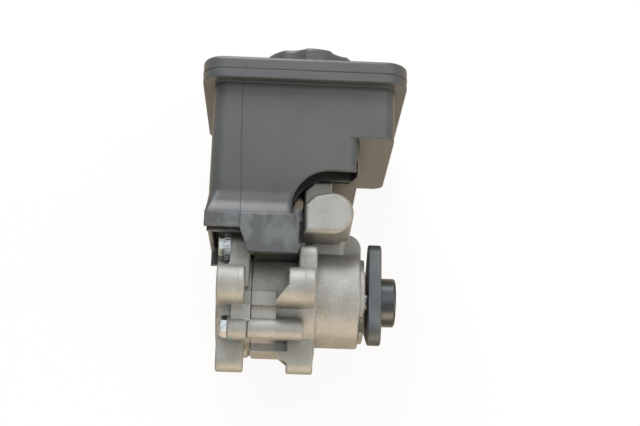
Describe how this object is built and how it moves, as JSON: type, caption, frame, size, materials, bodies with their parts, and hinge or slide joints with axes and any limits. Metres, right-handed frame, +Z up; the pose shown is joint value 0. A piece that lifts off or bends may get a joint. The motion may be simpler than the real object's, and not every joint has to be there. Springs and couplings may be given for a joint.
{
  "type": "power steering pump",
  "caption": "Vane-type hydraulic pump with a lobed hub flange, die-cast housing and mounting lugs, carrying a black plastic fluid reservoir with a screw cap.",
  "frame": {"origin": "centre of the hub flange's pulley face, on the shaft axis", "axes": "+X outward along the shaft, +Z up to the filler cap, +Y away from the side with the side lugs"},
  "size_m": [0.1498, 0.1536, 0.2463],
  "materials": {
    "black_plastic": "matte moulded, glass-filled polyamide",
    "natural_plastic": "satin moulded polyamide",
    "cast_aluminium": "shot-blasted die casting",
    "black_rubber": "moulded nitrile rubber",
    "zinc_plated_steel": "bright zinc plating",
    "phosphated_steel": "dark phosphated, machined",
    "bright_steel": "ground",
    "bronze": "sintered bronze"
  },
  "bodies": {
    "pump_body": {"bearing_outer_ring": "bright_steel", "cam_ring": "bright_steel", "clamp_sleeve_far": "zinc_plated_steel", "clamp_sleeve_near": "zinc_plated_steel", "cover_bolts": "zinc_plated_steel", "cover_seal": "black_rubber", "disc_spring": "bright_steel", "dowel_pins": "bright_steel", "front_housing": "cast_aluminium", "front_pressure_plate": "bright_steel", "inlet_seal": "black_rubber", "plate_seals": "black_rubber", "plug_seal": "black_rubber", "rear_cover": "cast_aluminium", "rear_pressure_plate": "bright_steel", "reservoir_body": "black_plastic", "reservoir_bolt_far": "zinc_plated_steel", "reservoir_bolt_near": "zinc_plated_steel", "reservoir_lid": "black_plastic", "retaining_ring": "bright_steel", "serrated_washer_far": "zinc_plated_steel", "serrated_washer_near": "zinc_plated_steel", "shaft_bush": "bronze", "shaft_seal": "black_rubber", "spool_spring": "bright_steel", "strainer": "natural_plastic", "valve_plug": "zinc_plated_steel"},
    "shaft": {"drive_shaft": "bright_steel", "hub_flange": "phosphated_steel", "bearing_inner_ring": "bright_steel", "rotor": "bright_steel"},
    "ball_set": {"bearing_balls": "bright_steel", "bearing_cage": "bright_steel"},
    "spool": {"flow_spool": "bright_steel", "relief_seat": "bright_steel", "relief_spring": "bright_steel"},
    "relief_valve": {"relief_ball": "bright_steel"},
    "cap_carrier": {"cap_seal": "black_rubber"},
    "cap": {"filler_cap": "black_plastic", "dipstick": "natural_plastic"},
    "vane_01_slider": {"vane_01": "bright_steel"},
    "vane_02_slider": {"vane_02": "bright_steel"},
    "vane_03_slider": {"vane_03": "bright_steel"},
    "vane_04_slider": {"vane_04": "bright_steel"},
    "vane_05_slider": {"vane_05": "bright_steel"},
    "vane_06_slider": {"vane_06": "bright_steel"},
    "vane_07_slider": {"vane_07": "bright_steel"},
    "vane_08_slider": {"vane_08": "bright_steel"},
    "vane_09_slider": {"vane_09": "bright_steel"},
    "vane_10_slider": {"vane_10": "bright_steel"}
  },
  "joints": [
    {"name": "shaft_spin", "type": "hinge", "parent": "pump_body", "child": "shaft", "pos_m": [0, 0, 0], "axis": [1, 0, 0], "continuous": true},
    {"name": "ball_orbit", "type": "hinge", "parent": "pump_body", "child": "ball_set", "pos_m": [-0.0256, 0, 0], "axis": [1, 0, 0], "continuous": true},
    {"name": "spool_slide", "type": "slide", "parent": "pump_body", "child": "spool", "axis": [0, -1, 0], "range_m": [0, 0.006], "stiffness_N_per_m": 600, "springref_m": -0.01, "deforming": ["spool_spring"]},
    {"name": "relief_slide", "type": "slide", "parent": "spool", "child": "relief_valve", "axis": [0, 1, 0], "range_m": [0, 0.0008], "stiffness_N_per_m": 400, "springref_m": -0.002, "deforming": ["relief_spring"]},
    {"name": "cap_lift", "type": "slide", "parent": "pump_body", "child": "cap_carrier", "axis": [0, 0, 1], "range_m": [0, 0.09]},
    {"name": "cap_turn", "type": "hinge", "parent": "cap_carrier", "child": "cap", "pos_m": [-0.0571, 0.005, 0.167], "axis": [0, 0, 1], "range_deg": [0, 90]},
    {"name": "vane_01_slide", "type": "slide", "parent": "shaft", "child": "vane_01_slider", "axis": [0, 0, 1], "range_m": [-0.0014, 0]},
    {"name": "vane_02_slide", "type": "slide", "parent": "shaft", "child": "vane_02_slider", "axis": [0, -0.5878, 0.809], "range_m": [-0.0014, 0]},
    {"name": "vane_03_slide", "type": "slide", "parent": "shaft", "child": "vane_03_slider", "axis": [0, -0.9511, 0.309], "range_m": [-0.0014, 0]},
    {"name": "vane_04_slide", "type": "slide", "parent": "shaft", "child": "vane_04_slider", "axis": [0, -0.9511, -0.309], "range_m": [-0.0014, 0]},
    {"name": "vane_05_slide", "type": "slide", "parent": "shaft", "child": "vane_05_slider", "axis": [0, -0.5878, -0.809], "range_m": [-0.0014, 0]},
    {"name": "vane_06_slide", "type": "slide", "parent": "shaft", "child": "vane_06_slider", "axis": [0, 0, -1], "range_m": [-0.0014, 0]},
    {"name": "vane_07_slide", "type": "slide", "parent": "shaft", "child": "vane_07_slider", "axis": [0, 0.5878, -0.809], "range_m": [-0.0014, 0]},
    {"name": "vane_08_slide", "type": "slide", "parent": "shaft", "child": "vane_08_slider", "axis": [0, 0.9511, -0.309], "range_m": [-0.0014, 0]},
    {"name": "vane_09_slide", "type": "slide", "parent": "shaft", "child": "vane_09_slider", "axis": [0, 0.9511, 0.309], "range_m": [-0.0014, 0]},
    {"name": "vane_10_slide", "type": "slide", "parent": "shaft", "child": "vane_10_slider", "axis": [0, 0.5878, 0.809], "range_m": [-0.0014, 0]}
  ],
  "couplings": [
    {"joint": "ball_orbit", "follows": "shaft_spin", "ratio": 0.3759}
  ]
}
